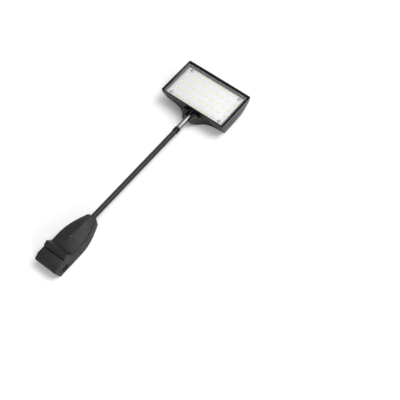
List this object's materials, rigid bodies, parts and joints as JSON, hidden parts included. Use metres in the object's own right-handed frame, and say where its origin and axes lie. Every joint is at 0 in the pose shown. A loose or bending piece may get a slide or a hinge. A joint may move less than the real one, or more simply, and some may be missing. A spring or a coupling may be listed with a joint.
{
  "type": "picture light",
  "caption": "Exhibition picture light: rectangular LED lamp head that tilts on a straight black arm, with a tapered driver housing and cross rib at its foot.",
  "frame": {"origin": "on the surface the light lies on, under the middle of the whole light", "axes": "+Y from the driver housing along the arm to the lamp head, +X along the long side of the head, +Z the way the light shines"},
  "size_m": [0.174, 0.5876, 0.0442],
  "materials": {
    "housing_plastic": "fine satin moulding texture",
    "black_plastic": "smooth moulded",
    "head_plastic": "fine satin moulding texture",
    "arm_paint": "satin powder coat",
    "chrome": "bright plated",
    "steel": "zinc plated",
    "zinc_screw": "zinc plated",
    "brass": "plain",
    "led_board_white": "white solder mask with yellow light emitters",
    "clear_lens": "clear polycarbonate",
    "aluminium": "plain rolled",
    "circuit_board": "green laminate",
    "ferrite": "dark ferrite and tape",
    "capacitor_sleeve": "shrink sleeve",
    "cable_sheath": "smooth sheath"
  },
  "bodies": {
    "housing_and_arm": {"arm_bush": "black_plastic", "arm_ferrule": "black_plastic", "arm_grub_screw": "steel", "arm_tube": "arm_paint", "base_shell": "housing_plastic", "bush_screw_left": "zinc_screw", "bush_screw_right": "zinc_screw", "choke": "ferrite", "cover_screw": "zinc_screw", "driver_board": "circuit_board", "end_cap": "housing_plastic", "hinge_tube": "chrome", "inlet_lead": "cable_sheath", "inlet_socket": "black_plastic", "inlet_socket_pin_front": "brass", "inlet_socket_pin_rear": "brass", "input_capacitor": "capacitor_sleeve", "link_lead": "cable_sheath", "link_socket": "black_plastic", "link_socket_pin_front": "brass", "link_socket_pin_rear": "brass", "output_capacitor": "capacitor_sleeve", "supply_lead": "cable_sheath", "top_cover": "housing_plastic", "transformer": "ferrite"},
    "lamp_head": {"bezel": "black_plastic", "board_screw_far_left": "zinc_screw", "board_screw_far_right": "zinc_screw", "board_screw_near_left": "zinc_screw", "board_screw_near_right": "zinc_screw", "head_shell": "head_plastic", "heat_sink": "aluminium", "hinge_nut": "steel", "hinge_screw": "steel", "hinge_washer_left": "steel", "hinge_washer_right": "steel", "led_board": "led_board_white", "lens": "clear_lens"}
  },
  "joints": [
    {"name": "head_tilt", "type": "hinge", "parent": "housing_and_arm", "child": "lamp_head", "pos_m": [0, 0.174, 0.018], "axis": [1, 0, 0], "range_deg": [-15, 90], "deforming": ["supply_lead"]}
  ]
}
